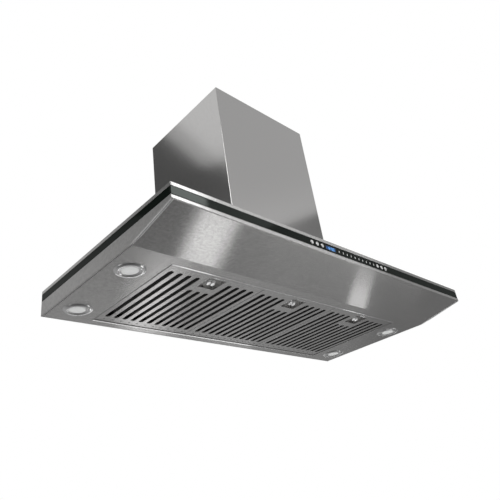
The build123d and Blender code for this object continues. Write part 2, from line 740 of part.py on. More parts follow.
def filter_latch(centre):
    """The sliding latch: a grip with two humps in the pocket, a stem, the tongue and a spring tab."""
    knob_top = pocket_roof - SHEET - LATCH_CLEARANCE
    tongue_top = tongue_bottom + TONGUE_SIZE[1]
    with BuildPart() as latch:
        with BuildSketch(Plane.XY.offset(knob_top)):
            with Locations((centre, knob_y)):
                RectangleRounded(*KNOB_SIZE, KNOB_CORNER_RADIUS)
        extrude(amount=-KNOB_PLATE)
        with BuildSketch(Plane.XY.offset(knob_top - KNOB_PLATE)):
            with Locations(*[(centre + hump, knob_y) for hump in (-HUMP_OFFSET, HUMP_OFFSET)]):
                Circle(HUMP_RADIUS)
        extrude(amount=-HUMP_HEIGHT)
        fillet(latch.faces().group_by(Axis.Z)[0].edges(), radius=HUMP_ROUND)
        box_between(
            (centre - STEM_SIZE[0] / 2, knob_y - STEM_SIZE[1] / 2, knob_top),
            (centre + STEM_SIZE[0] / 2, knob_y + STEM_SIZE[1] / 2, tongue_top),
        )
        box_between(
            (centre - TONGUE_SIZE[0] / 2, opening_front + TONGUE_SHORT, tongue_bottom),
            (centre + TONGUE_SIZE[0] / 2, knob_y + STEM_SIZE[1] / 2, tongue_top),
        )
        box_between(
            (centre - SPRING_TAB[0] / 2, knob_y - TONGUE_SIZE[1], tongue_top),
            (centre + SPRING_TAB[0] / 2, knob_y, tongue_top + SPRING_TAB[1] - SHEET),
        )
    return latch


def latch_spring(centre):
    """The coil spring between the latch's tab and the upturned tab on the pocket's rear wall."""
    start = knob_y + SPRING_WIRE
    length = pocket_rear - knob_y - 2 * SPRING_WIRE
    axis_z = tongue_bottom + TONGUE_SIZE[1] + SPRING_RADIUS + SPRING_WIRE + SPRING_GAP
    with BuildPart() as spring:
        with BuildLine() as coil:
            Helix(
                pitch=length / SPRING_TURNS,
                height=length,
                radius=SPRING_RADIUS,
                center=(centre, start, axis_z),
                direction=(0, 1, 0),
            )
        with BuildSketch(Plane(coil.line @ 0, z_dir=coil.line % 0)):
            Circle(SPRING_WIRE)
        sweep(is_frenet=True)
    return spring


for name, centre in filter_centres.items():
    keep(filter_tray(centre), f"filter_{name}_tray")
    keep(filter_baffles(centre), f"filter_{name}_baffles")
    keep(filter_latch(centre), f"filter_{name}_latch")
    keep(latch_spring(centre), f"filter_{name}_latch_spring")


# ---------------------------------------------------------------- duct cover


def duct_cover(inset, bottom, top):
    """A folded U-shaped cover, open towards the wall, with two return flanges."""
    reach = DUCT_WIDTH / 2 - inset
    with BuildPart() as cover:
        with BuildSketch(Plane.XY.offset(bottom)):
            with BuildLine():
                FilletPolyline(
                    (-reach + DUCT_RETURN, -inset),
                    (-reach, -inset),
                    (-reach, -DUCT_DEPTH + inset),
                    (reach, -DUCT_DEPTH + inset),
                    (reach, -inset),
                    (reach - DUCT_RETURN, -inset),
                    radius=DUCT_BEND,
                )
                offset(amount=SHEET, side=Side.LEFT)
            make_face()
        extrude(amount=top - bottom)
    return cover


duct_top = CANOPY_TOP + DUCT_HEIGHT
keep(duct_cover(0, CANOPY_TOP, duct_top), "duct_cover_lower")
upper_inset = SHEET + UPPER_GAP
keep(duct_cover(upper_inset, CANOPY_TOP + UPPER_BOTTOM, duct_top - UPPER_DROP), "duct_cover_upper")

# Wall bracket that holds the top of the duct cover
bracket_z = duct_top - BRACKET_DROP
bracket_ear = DUCT_WIDTH / 2 - 2 * SHEET - UPPER_GAP - BRACKET_GAP
bracket_reach = PLATE_HALF_WIDTH - BRACKET_INSET
with BuildPart() as upper_bracket:
    with BuildSketch(Plane.XY.offset(bracket_z)):
        with BuildLine():
            Polyline(
                (-bracket_ear, -BRACKET_EAR),
                (-bracket_ear, -BRACKET_STEP),
                (-bracket_reach, -BRACKET_STEP),
                (-bracket_reach, 0),
                (bracket_reach, 0),
                (bracket_reach, -BRACKET_STEP),
                (bracket_ear, -BRACKET_STEP),
                (bracket_ear, -BRACKET_EAR),
            )
            offset(amount=SHEET, side=Side.RIGHT)
        make_face()
    extrude(amount=BRACKET_HEIGHT)
    with BuildSketch(Plane.XZ):
        with Locations((0, bracket_z + BRACKET_HEIGHT / 2)):
            with GridLocations(2 * BRACKET_HOLE_X, 1, 2, 1):
                Circle(BRACKET_HOLE_RADIUS)
    extrude(amount=BRACKET_STEP, mode=Mode.SUBTRACT)
keep(upper_bracket, "upper_bracket")


# ---------------------------------------------------------------- wall plate and blower

# Mounting plate: carries the blower box and the canopy, and is screwed to the wall
with BuildPart() as mounting_plate:
    box_between((-PLATE_HALF_WIDTH, -PLATE_SHEET, CANOPY_TOP), (PLATE_HALF_WIDTH, 0, PLATE_TOP))
    fillet(mounting_plate.edges().filter_by(Axis.Y).group_by(Axis.Z)[-1], radius=PLATE_CORNER_RADIUS)
    with BuildSketch(Plane.XZ):
        with GridLocations(2 * WALL_HOLE_X, 2 * WALL_HOLE_Z, 2, 2):
            Circle(WALL_HOLE_RADIUS)
        with Locations(*plate_screws):
            Circle(SCREW_RADIUS)
    extrude(amount=PLATE_SHEET, mode=Mode.SUBTRACT)
keep(mounting_plate, "mounting_plate")

# Blower box: a sheet box open at the bottom, over the opening in the top panel
with BuildPart() as blower_box:
    box_between((-BOX_HALF_WIDTH, box_front, CANOPY_TOP), (BOX_HALF_WIDTH, -PLATE_SHEET, box_top))
    fillet(blower_box.edges().filter_by(Axis.Z).group_by(Axis.Y)[0], radius=BEND_RADIUS)
    box_between(
        (-BOX_HALF_WIDTH - BOX_FLANGE, box_front - BOX_FLANGE, CANOPY_TOP),
        (BOX_HALF_WIDTH + BOX_FLANGE, -PLATE_SHEET, CANOPY_TOP + SHEET),
    )
    box_between(
        (-BOX_HALF_WIDTH + SHEET, box_front + SHEET, CANOPY_TOP),
        (BOX_HALF_WIDTH - SHEET, -PLATE_SHEET - SHEET, box_top - SHEET),
        mode=Mode.SUBTRACT,
    )
    box_between(
        (-SCROLL_HALF_WIDTH + SCROLL_SHEET, SCROLL_Y, box_top - SHEET),
        (SCROLL_HALF_WIDTH - SCROLL_SHEET, SCROLL_Y + outlet_width, box_top),
        mode=Mode.SUBTRACT,
    )
    with BuildSketch(Plane.XY.offset(CANOPY_TOP)):
        with Locations(*box_screws):
            Circle(SCREW_RADIUS)
    extrude(amount=SHEET, mode=Mode.SUBTRACT)
    with BuildSketch(Plane.XY.offset(box_top)):
        with Locations(*collar_screws):
            Circle(SCREW_RADIUS)
    extrude(amount=-SHEET, mode=Mode.SUBTRACT)
    with BuildSketch(Plane.XZ.offset(PLATE_SHEET)):
        with Locations(*plate_screws):
            Circle(SCREW_RADIUS)
    extrude(amount=SHEET, mode=Mode.SUBTRACT)
keep(blower_box, "blower_box")


# Scroll housing: the volute around the impeller, with an inlet in each side plate
scroll_passes = (
    (SCROLL_SHEET, SCROLL_HALF_WIDTH, Mode.ADD),
    (0, SCROLL_HALF_WIDTH - SCROLL_SHEET, Mode.SUBTRACT),
)
with BuildPart() as scroll_housing:
    for grow, reach, mode in scroll_passes:
        first = SCROLL_START_RADIUS + grow
        second = first + SCROLL_STEP
        third = second + SCROLL_STEP
        y, z = SCROLL_Y, scroll_z
        rear_wall = y + SCROLL_STEP + third
        rim = box_top - SHEET
        cutoff_angle = 90 + math.degrees(math.asin(grow / first))
        cutoff = (y - grow, z + math.sqrt(first**2 - grow**2))
        with BuildSketch(Plane.YZ):
            with BuildLine():
                Polyline((rear_wall, z + SCROLL_STEP), (rear_wall, rim), (y - grow, rim), cutoff)
                CenterArc((y, z), first, cutoff_angle, 180 - cutoff_angle)
                CenterArc((y + SCROLL_STEP, z), second, 180, 90)
                CenterArc((y + SCROLL_STEP, z + SCROLL_STEP), third, 270, 90)
            make_face()
        extrude(amount=reach, both=True, mode=mode)
    with BuildSketch(Plane.YZ):
        with Locations((impeller_y, impeller_z)):
            Circle(SCROLL_INLET_RADIUS)
    extrude(amount=SCROLL_HALF_WIDTH, both=True, mode=Mode.SUBTRACT)
keep(scroll_housing, "scroll_housing")

# Impeller: two cages of forward blades on one centre disc
with BuildPart() as impeller:
    with BuildSketch(Plane.YZ):
        with Locations((impeller_y, impeller_z)):
            Circle(IMPELLER_RADIUS)
    extrude(amount=IMPELLER_DISC_HALF, both=True)
    with BuildSketch(Plane.YZ.offset(HUB_START)):
        with Locations((impeller_y, impeller_z)):
            Circle(HUB_RADIUS)
    extrude(amount=HUB_LENGTH)
    with BuildSketch(Plane.YZ):
        with Locations((impeller_y, impeller_z)):
            with PolarLocations(IMPELLER_RADIUS - IMPELLER_RING / 2, BLADE_COUNT):
                Rectangle(IMPELLER_RING - BLADE_SHORT, BLADE_SHEET, rotation=BLADE_ANGLE)
    extrude(amount=IMPELLER_HALF_WIDTH, both=True)
    for side in (-1, 1):
        with BuildSketch(Plane.YZ.offset(side * IMPELLER_HALF_WIDTH)):
            with Locations((impeller_y, impeller_z)):
                Circle(IMPELLER_RADIUS)
                Circle(IMPELLER_RADIUS - IMPELLER_RING, mode=Mode.SUBTRACT)
        extrude(amount=-side * IMPELLER_RING_SHEET)
    with BuildSketch(Plane.YZ.offset(HUB_START)):
        with Locations((impeller_y, impeller_z)):
            Circle(SHAFT_RADIUS)
    extrude(amount=HUB_LENGTH, mode=Mode.SUBTRACT)
keep(impeller, "impeller")

# Motor shaft: turns with the impeller and runs in the motor
with BuildPart() as motor_shaft:
    with BuildSketch(Plane.YZ.offset(SHAFT_START)):
        with Locations((impeller_y, impeller_z)):
            Circle(SHAFT_RADIUS)
    extrude(amount=SHAFT_END - SHAFT_START)
keep(motor_shaft, "motor_shaft")

# Motor: a round can inside the right-hand cage
with BuildPart() as motor:
    with BuildSketch(Plane.YZ.offset(MOTOR_START)):
        with Locations((impeller_y, impeller_z)):
            Circle(MOTOR_RADIUS)
    extrude(amount=MOTOR_END - MOTOR_START)
    fillet(motor.edges().filter_by(GeomType.CIRCLE), radius=MOTOR_ROUND)
    with BuildSketch(Plane.YZ.offset(MOTOR_START)):
        with Locations((impeller_y, impeller_z)):
            Circle(SHAFT_RADIUS + RUNNING_CLEARANCE)
    extrude(amount=MOTOR_END - MOTOR_START - MOTOR_END_WALL, mode=Mode.SUBTRACT)
keep(motor, "motor")

# Motor bracket: a clamp ring with three arms on the scroll's side plate
with BuildPart() as motor_bracket:
    with BuildSketch(Plane.YZ.offset(SCROLL_HALF_WIDTH)):
        with Locations((impeller_y, impeller_z)):
            Circle(MOTOR_RADIUS + CLAMP_RING)
            with PolarLocations(MOTOR_RADIUS + ARM_OFFSET, ARM_COUNT, start_angle=90):
                Rectangle(*ARM_SIZE)
    extrude(amount=ARM_SHEET)
    with BuildSketch(Plane.YZ.offset(SCROLL_HALF_WIDTH)):
        with Locations((impeller_y, impeller_z)):
            Circle(MOTOR_RADIUS + CLAMP_RING)
    extrude(amount=CLAMP_HEIGHT)
    with BuildSketch(Plane.YZ.offset(SCROLL_HALF_WIDTH)):
        with Locations((impeller_y, impeller_z)):
            Circle(MOTOR_RADIUS)
    extrude(amount=CLAMP_HEIGHT, mode=Mode.SUBTRACT)
keep(motor_bracket, "motor_bracket")


# ---------------------------------------------------------------- outlet

# Outlet collar: the round spigot for the duct, with a stop lip under the flaps
with BuildPart() as outlet_collar:
    with BuildSketch(Plane.XY.offset(box_top)):
        with Locations((0, outlet_y)):
            Circle(COLLAR_RADIUS + COLLAR_FLANGE)
    extrude(amount=SHEET)
    with BuildSketch(Plane.XY.offset(box_top)):
        with Locations((0, outlet_y)):
            Circle(COLLAR_RADIUS)
    extrude(amount=COLLAR_HEIGHT)
    with BuildSketch(Plane.XY.offset(box_top)):
        with Locations((0, outlet_y)):
            Circle(COLLAR_RADIUS - COLLAR_SHEET)
    extrude(amount=COLLAR_HEIGHT, mode=Mode.SUBTRACT)
    with BuildSketch(Plane.XY.offset(flap_axis_z - KNUCKLE_RADIUS - STOP_GAP)):
        with Locations((0, outlet_y)):
            Circle(COLLAR_RADIUS - COLLAR_SHEET)
            Circle(FLAP_RADIUS - STOP_LIP, mode=Mode.SUBTRACT)
    extrude(amount=-SHEET)
    with BuildSketch(Plane.YZ):
        with Locations((outlet_y, flap_axis_z)):
            Circle(PIN_RADIUS)
    extrude(amount=COLLAR_RADIUS + OVERSHOOT, both=True, mode=Mode.SUBTRACT)
    with BuildSketch(Plane.XY.offset(box_top)):
        with Locations(*collar_screws):
            Circle(SCREW_RADIUS)
    extrude(amount=SHEET, mode=Mode.SUBTRACT)
keep(outlet_collar, "outlet_collar")

# Flap pin: spans the collar and carries both flaps
with BuildPart() as flap_pin:
    with BuildSketch(Plane.YZ):
        with Locations((outlet_y, flap_axis_z)):
            Circle(PIN_RADIUS)
    extrude(amount=COLLAR_RADIUS, both=True)
keep(flap_pin, "flap_pin")


def damper_flap(side):
    """One half-round flap on the side given, with two knuckles around the pin."""
    low = flap_axis_z - KNUCKLE_RADIUS
    knuckle_starts = [-2 * KNUCKLE_LENGTH, 0] if side < 0 else [-KNUCKLE_LENGTH, KNUCKLE_LENGTH]
    with BuildPart() as flap:
        with BuildSketch(Plane.XY.offset(low)):
            with Locations((0, outlet_y)):
                Circle(FLAP_RADIUS)
            with Locations((0, outlet_y - side * (FLAP_RADIUS - FLAP_ROOT))):
                Rectangle(2 * FLAP_RADIUS, 2 * FLAP_RADIUS, mode=Mode.SUBTRACT)
        extrude(amount=FLAP_SHEET)
        for start in knuckle_starts:
            first = start + KNUCKLE_GAP
            last = start + KNUCKLE_LENGTH - KNUCKLE_GAP
            reach = sorted((outlet_y, outlet_y + side * (FLAP_ROOT + FLAP_SHEET)))
            box_between((first, reach[0], low), (last, reach[1], low + FLAP_SHEET))
            with BuildSketch(Plane.YZ.offset(first)):
                with Locations((outlet_y, flap_axis_z)):
                    Circle(KNUCKLE_RADIUS)
            extrude(amount=last - first)
            with BuildSketch(Plane.YZ.offset(first)):
                with Locations((outlet_y, flap_axis_z)):
                    Circle(PIN_RADIUS + RUNNING_CLEARANCE)
            extrude(amount=last - first, mode=Mode.SUBTRACT)
    return flap


for side, name in ((-1, "damper_flap_front"), (1, "damper_flap_rear")):
    keep(damper_flap(side), name)


# ---------------------------------------------------------------- electrical box and screws

# Terminal box on the blower box, with a hole in its lid for the gland
terminal_middle = (TERMINAL_CORNER[0] + TERMINAL_SIZE[0] / 2, TERMINAL_CORNER[1] + TERMINAL_SIZE[1] / 2)
terminal_top = box_top + TERMINAL_SIZE[2]
with BuildPart() as terminal_box:
    with BuildSketch(Plane.XY.offset(box_top)):
        with Locations(terminal_middle):
            RectangleRounded(TERMINAL_SIZE[0], TERMINAL_SIZE[1], TERMINAL_CORNER_RADIUS)
    extrude(amount=TERMINAL_SIZE[2])
    fillet(terminal_box.faces().sort_by(Axis.Z)[-1].edges(), radius=TERMINAL_EDGE_RADIUS)
    with BuildSketch(Plane.XY.offset(box_top)):
        with Locations(terminal_middle):
            hollow = (TERMINAL_SIZE[0] - 2 * TERMINAL_WALL, TERMINAL_SIZE[1] - 2 * TERMINAL_WALL)
            RectangleRounded(*hollow, TERMINAL_CORNER_RADIUS - TERMINAL_WALL)
    extrude(amount=TERMINAL_SIZE[2] - TERMINAL_WALL, mode=Mode.SUBTRACT)
    with BuildSketch(Plane.XY.offset(terminal_top)):
        with Locations(terminal_middle):
            Circle(GLAND_THREAD[0])
    extrude(amount=-TERMINAL_WALL, mode=Mode.SUBTRACT)
keep(terminal_box, "terminal_box")

# Cable gland for the mains lead
with BuildPart() as cable_gland:
    with BuildSketch(Plane.XY.offset(terminal_top)):
        with Locations(terminal_middle):
            RegularPolygon(GLAND_NUT[0], 6)
    extrude(amount=GLAND_NUT[1])
    with BuildSketch(Plane.XY.offset(terminal_top + GLAND_NUT[1])):
        with Locations(terminal_middle):
            Circle(GLAND_CAP[0])
    extrude(amount=GLAND_CAP[1])
    fillet(cable_gland.faces().sort_by(Axis.Z)[-1].edges(), radius=GLAND_ROUND)
    with BuildSketch(Plane.XY.offset(terminal_top)):
        with Locations(terminal_middle):
            Circle(GLAND_THREAD[0])
    extrude(amount=-GLAND_THREAD[1])
    with BuildSketch(Plane.XY.offset(terminal_top - GLAND_THREAD[1])):
        with Locations(terminal_middle):
            Circle(GLAND_BORE)
    extrude(amount=GLAND_THREAD[1] + GLAND_NUT[1] + GLAND_CAP[1], mode=Mode.SUBTRACT)
keep(cable_gland, "cable_gland")

# Pan-head screws: canopy to blower box, collar to blower box, blower box to mounting plate
screw_groups = (
    (Plane.XY.offset(CANOPY_TOP + SHEET), box_screws, SCREW_LENGTH),
    (Plane.XY.offset(box_top + SHEET), collar_screws, SCREW_LENGTH),
    (Plane.XZ.offset(PLATE_SHEET + SHEET), plate_screws, PLATE_SCREW_LENGTH),
)
with BuildPart() as screws:
    for seat, spots, length in screw_groups:
        with BuildSketch(seat):
            with Locations(*spots):
                Circle(SCREW_HEAD[0])
        extrude(amount=SCREW_HEAD[1])
        with BuildSketch(seat):
            with Locations(*spots):
                Circle(SCREW_RADIUS)
        extrude(amount=-length)
keep(screws, "screws")
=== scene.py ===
"""Looks of the wall-chimney range hood: materials, small details, studio and camera.

Metres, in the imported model's frame: X runs along the width, Y points at the wall and Z is up.
"""

import math

import bmesh
import bpy
from mathutils import Matrix, Quaternion, Vector


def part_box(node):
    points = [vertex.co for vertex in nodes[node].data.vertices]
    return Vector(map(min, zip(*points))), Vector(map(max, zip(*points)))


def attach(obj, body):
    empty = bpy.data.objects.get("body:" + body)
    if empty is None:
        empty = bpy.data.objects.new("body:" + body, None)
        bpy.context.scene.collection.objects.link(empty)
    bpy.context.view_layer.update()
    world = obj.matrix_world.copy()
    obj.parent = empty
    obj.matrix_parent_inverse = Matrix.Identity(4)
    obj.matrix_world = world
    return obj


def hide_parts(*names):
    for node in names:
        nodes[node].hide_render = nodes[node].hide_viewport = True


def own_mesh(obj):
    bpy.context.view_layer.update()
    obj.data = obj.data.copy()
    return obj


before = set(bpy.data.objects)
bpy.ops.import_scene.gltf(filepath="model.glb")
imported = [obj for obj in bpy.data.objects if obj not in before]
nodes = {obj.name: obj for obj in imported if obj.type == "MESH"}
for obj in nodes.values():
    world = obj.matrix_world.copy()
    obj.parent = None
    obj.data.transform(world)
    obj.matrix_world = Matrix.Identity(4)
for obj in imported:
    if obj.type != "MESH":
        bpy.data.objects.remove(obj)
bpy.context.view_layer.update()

MM = 0.001
AXES = ("X", "Y", "Z")
UPRIGHT = (0.0, 0.0, 1.0)

# Camera, below and to the left of the hood, rolled a little
CAMERA_PLACE = (-0.858, -0.980, -0.587)
CAMERA_AZIMUTH = -46.6
CAMERA_ELEVATION = 27.8
CAMERA_ROLL = -8.5
LENS = 38.3
SENSOR = 36.0

# Room light by height, from straight down (0) over the horizon (0.5) to straight up (1)
WORLD_BY_HEIGHT = (
    (0.0, 0.08),
    (0.09, 0.14),
    (0.14, 0.19),
    (0.20, 0.28),
    (0.29, 0.34),
    (0.42, 0.28),
    (0.71, 0.30),
    (0.79, 0.10),
    (0.9, 0.10),
    (1.0, 0.3),
)
# What multiplies it, from left (0) to right (1)
WORLD_BY_SIDE = ((0.0, 1.0), (0.75, 1.0), (0.84, 1.05), (0.88, 0.9), (0.92, 0.6), (1.0, 0.5))
FLOOR_HEIGHT = -1.75
FLOOR_SIZE = 14.0
FLOOR_CLOUD = 0.8
# The length of both overhead cards lies along this
CARD_ALONG = (0.301, 0.954, 0.0)

# Brushed steel grain: widths across the grain and lengths along it. Clouds are as wide as they are long
HAIRLINE = (0.35 * MM, 30 * MM)
STREAK = (4 * MM, 160 * MM)
MOTTLE = (4 * MM, 5 * MM)
CLOUD = 140 * MM
# How squarely a face has to look along the grain before it is brushed across it
END_FACE = 0.8

# Texture scales, in pattern units to the metre: galvanised sheet, lens prisms, circuit tracks
SPANGLE_SCALE = 160.0
PRISM_SCALE = 650.0
TRACK_SCALE = 260.0

# The Mix node's sockets when it mixes colours
MIX_SHARE = 0
MIX_FIRST = 6
MIX_SECOND = 7
MIX_RESULT = 2

# Small pieces: points closer than this are joined, and folds sharper than this stay crisp
JOIN_DISTANCE = 0.001 * MM
SHARP_ANGLE = math.radians(35)

# Folded hems: the usual drop and width, and the flat land at the edge
HEM_DROP = 0.55 * MM
HEM_WIDTH = 1.7 * MM
HEM_LAND = 0.1 * MM

# Filter opening: the gap around the filters, and the rear edge with its own hem
FILTER_GAP = 1.5 * MM
OPENING_REAR = -26.0 * MM
REAR_HEM_DROP = 0.75 * MM
REAR_HEM_WIDTH = 5.0 * MM

# Latch pockets: the front edge, and its hem's half length, drop and width
POCKET_FRONT = -296.0 * MM
POCKET_HEM_HALF = 13.0 * MM
POCKET_HEM_DROP = 0.85 * MM
POCKET_HEM_WIDTH = 2.7 * MM

# Finger pads of the latches: the crown is (scale, rise) from the root to the top
PAD_Y = -271.0 * MM
PAD_OFFSET = 5.0 * MM
PAD_RADIUS = 4.7 * MM
PAD_SIDES = 20
PAD_TILT = math.radians(17)
PAD_CROWN = ((1.0, 1.6 * MM), (1.0, -0.3 * MM), (0.85, -0.8 * MM), (0.7, -0.9 * MM))

# Latch springs: the wire's radius and sides, the turns, and the steps in a turn
SPRING_WIRE = 0.35 * MM
SPRING_SIDES = 8
SPRING_TURNS = 6
SPRING_STEPS = 24

# Controls
GLASS_FACE = -449.6 * MM
BUTTON_RADIUS = 4.2 * MM
RING_GAP = 0.7 * MM
RING_WIRE = 0.3 * MM
DISPLAY_FACE = -449.3 * MM
DIGIT_SIZE = (3.2 * MM, 5.8 * MM)
DIGIT_STROKE = 0.8 * MM
DIGIT_PITCH = 5.0 * MM
DIGIT_RISE = 0.2 * MM
SEGMENT_GAP = 0.1 * MM
COLON_GAP = 1.0 * MM
COLON_DOT = 1.2 * MM
FRAME_WIDTH = 1.5 * MM
FRAME_RISE = 0.25 * MM
FRAME_OVERLAP = 0.3 * MM

# Beads over the slanted front's ends. The slope is (y, z) at its front and its rear, and
# the stations are (share of the slope, scale of the bead)
BEAD_RADIUS = 2.6 * MM
BEAD_SIDES = 16
BEAD_X = 447.0 * MM
SLOPE_LINE = ((-448.6 * MM, -131.9 * MM), (-336.0 * MM, -153.8 * MM))
BEAD_STATIONS = ((0.0, 0.8), (0.75, 1.0), (1.0, 0.4))

# The lamps' inner trim as (radius, drop) from the underside
TRIM_OUTLINE = (
    (18.9 * MM, -0.95 * MM),
    (18.7 * MM, -1.7 * MM),
    (15.7 * MM, -1.35 * MM),
    (15.2 * MM, -0.95 * MM),
)
TRIM_SIDES = 72

# Guards over the blower's inlets: the wire's radius, the rings, and how far the spokes reach past them
GUARD_WIRE = 0.9 * MM
GUARD_RINGS = (14 * MM, 28 * MM, 42 * MM)
GUARD_SPOKES = 8
GUARD_FOOT = 12 * MM


# ---------------------------------------------------------------- node helpers


def set_inputs(node, inputs):
    """Gives a node's sockets their values: another node's output is linked, anything else is set."""
    for name, value in inputs.items():
        if isinstance(value, bpy.types.NodeSocket):
            node.id_data.links.new(value, node.inputs[name])
        else:
            node.inputs[name].default_value = value


def add_node(tree, kind, settings=None, inputs=None):
    """A new node of this kind, with its settings and its inputs."""
    node = tree.nodes.new(kind)
    for name, value in (settings or {}).items():
        setattr(node, name, value)
    set_inputs(node, inputs or {})
    return node


def new_material(name, **inputs):
    """A material with one Principled shader. Returns the material, its tree and the shader."""
    material = bpy.data.materials.new(name)
    material.use_nodes = True
    tree = material.node_tree
    tree.nodes.clear()
    output = tree.nodes.new("ShaderNodeOutputMaterial")
    shader = tree.nodes.new("ShaderNodeBsdfPrincipled")
    tree.links.new(shader.outputs["BSDF"], output.inputs["Surface"])
    set_inputs(shader, inputs)
    return material, tree, shader


def place_of(tree):
    """The place on the object, in metres."""
    return add_node(tree, "ShaderNodeTexCoord").outputs["Object"]


def noise(tree, place, sizes, detail, seed=0.0):
    """Noise whose blobs are sizes (x, y, z) long, from 0 to 1."""
    scale = tuple(1 / size for size in sizes)
    mapping = add_node(
        tree,
        "ShaderNodeMapping",
        inputs={"Vector": place, "Scale": scale, "Location": (seed, seed, seed)},
    )
    texture = add_node(
        tree,
        "ShaderNodeTexNoise",
        inputs={"Vector": mapping.outputs["Vector"], "Scale": 1.0, "Detail": detail},
    )
    return texture.outputs["Fac"]


def grain_noise(tree, place, grain, width_and_length, detail, seed=0.0):
    """Noise drawn out along the grain, which is one of the axes."""
    width, length = width_and_length
    sizes = tuple(length if axis == grain else width for axis in AXES)
    return noise(tree, place, sizes, detail, seed)


def ranged(tree, value, low, high, start=0.3, end=0.7):
    """The value, mapped so that start to end becomes low to high."""
    node = add_node(
        tree,
        "ShaderNodeMapRange",
        inputs={
            "Value": value,
            "From Min": start,
            "From Max": end,
            "To Min": low,
            "To Max": high,
        },
    )
    return node.outputs["Result"]


def maths(tree, operation, first, second):
    """What one Math node makes of two values."""
    node = add_node(
        tree, "ShaderNodeMath", {"operation": operation}, {0: first, 1: second}
    )
    return node.outputs["Value"]


def mixed(tree, share, first, second, blend="MIX"):
    """A colour between first and second, or another blend of the two."""
    node = add_node(
        tree,
        "ShaderNodeMix",
        {"data_type": "RGBA", "blend_type": blend},
        {MIX_SHARE: share, MIX_FIRST: first, MIX_SECOND: second},
    )
    return node.outputs[MIX_RESULT]


def bumped(tree, height, depth, strength, normal=None):
    """Normals that follow the height, on top of other normals if there are any."""
    inputs = {"Height": height, "Distance": depth, "Strength": strength}
    if normal is not None:
        inputs["Normal"] = normal
    return add_node(tree, "ShaderNodeBump", inputs=inputs).outputs["Normal"]


def soft_edges(tree, radius):
    """Normals that round each sharp edge over the radius, as a deburred sheet has."""
    node = add_node(tree, "ShaderNodeBevel", {"samples": 4}, {"Radius": radius})
    return node.outputs["Normal"]


def grey(level, warmth=0.0):
    """A grey colour. Warmth adds red and takes blue away."""
    return (level * (1 + warmth), level, level * (1 - warmth), 1.0)


# ------------------------------------------------------------------- materials


def grain_direction(tree, grain):
    """A vector along the grain, or along the next axis on the faces that the grain would run into."""
    normal = add_node(tree, "ShaderNodeTexCoord").outputs["Normal"]
    parts = add_node(tree, "ShaderNodeSeparateXYZ", inputs={"Vector": normal})
    facing = maths(tree, "ABSOLUTE", parts.outputs[grain], 0.0)
    end_face = maths(tree, "GREATER_THAN", facing, END_FACE)
    along_grain = maths(tree, "SUBTRACT", 1.0, end_face)
    across = "Y" if grain == "X" else "X"
    tangent = add_node(
        tree, "ShaderNodeCombineXYZ", inputs={grain: along_grain, across: end_face}
    )
    return tangent.outputs["Vector"]


def brushed_steel(name, grain, level=0.60, roughness=0.30, spread=1.0, contrast=0.10):
    """Stainless steel brushed along the grain axis, so that reflections spread across it."""
    material, tree, shader = new_material(
        name, Metallic=1.0, Anisotropic=spread, **{"Anisotropic Rotation": 0.25}
    )
    place = place_of(tree)
    hairline = grain_noise(tree, place, grain, HAIRLINE, 3.0)
    streak = grain_noise(tree, place, grain, STREAK, 2.0, 3.0)
    mottle = grain_noise(tree, place, grain, MOTTLE, 2.0, 7.0)
    cloud = noise(tree, place, (CLOUD, CLOUD, CLOUD), 3.0, 11.0)
    tone = maths(tree, "ADD", ranged(tree, streak, 0.0, 0.15), ranged(tree, mottle, 0.0, 0.85))
    dark, bright = level * (1 - contrast), level * (1 + contrast)
    colour = mixed(tree, tone, grey(dark, 0.01), grey(bright, 0.01))
    wear = maths(tree, "ADD", ranged(tree, cloud, 0.0, 0.01), ranged(tree, hairline, 0.0, 0.015))
    set_inputs(
        shader,
        {
            "Base Color": colour,
            "Roughness": maths(tree, "ADD", wear, roughness),
            "Tangent": grain_direction(tree, grain),
            "Normal": soft_edges(tree, 0.5 * MM),
        },
    )
    return material


def plain_steel(name, level=0.55, roughness=0.3, edge=0.4 * MM):
    """Galvanised or mill-finish sheet with a cloudy spangle."""
    material, tree, shader = new_material(name, Metallic=1.0)
    place = place_of(tree)
    cell = add_node(
        tree, "ShaderNodeTexVoronoi", inputs={"Vector": place, "Scale": SPANGLE_SCALE}
    ).outputs["Color"]
    spangle = add_node(tree, "ShaderNodeSeparateColor", inputs={"Color": cell}).outputs["Red"]
    cloud = noise(tree, place, (60 * MM, 60 * MM, 60 * MM), 4.0)
    tone = maths(tree, "MULTIPLY", spangle, cloud)
    set_inputs(
        shader,
        {
            "Base Color": mixed(tree, tone, grey(level * 0.85), grey(level * 1.15)),
            "Roughness": ranged(tree, spangle, roughness, roughness + 0.12, 0.0, 1.0),
            "Normal": bumped(tree, cloud, 0.3 * MM, 0.1, soft_edges(tree, edge)),
        },
    )
    return material


def black_glass(name="black_glass", gloss=0.32):
    """Back-painted black glass with the green tint of float glass."""
    material, tree, shader = new_material(
        name,
        IOR=1.52,
        **{"Specular IOR Level": gloss, "Specular Tint": (0.88, 1.0, 0.93, 1.0)},
    )
    place = place_of(tree)
    cloud = noise(tree, place, (90 * MM, 90 * MM, 30 * MM), 3.0)
    smear = noise(tree, place, (14 * MM, 14 * MM, 5 * MM), 4.0, 5.0)
    set_inputs(
        shader,
        {
            "Base Color": mixed(tree, cloud, (0.004, 0.007, 0.005, 1.0), (0.007, 0.012, 0.009, 1.0)),
            "Roughness": ranged(tree, smear, 0.03, 0.09),
            "Normal": soft_edges(tree, 0.4 * MM),
        },
    )
    return material


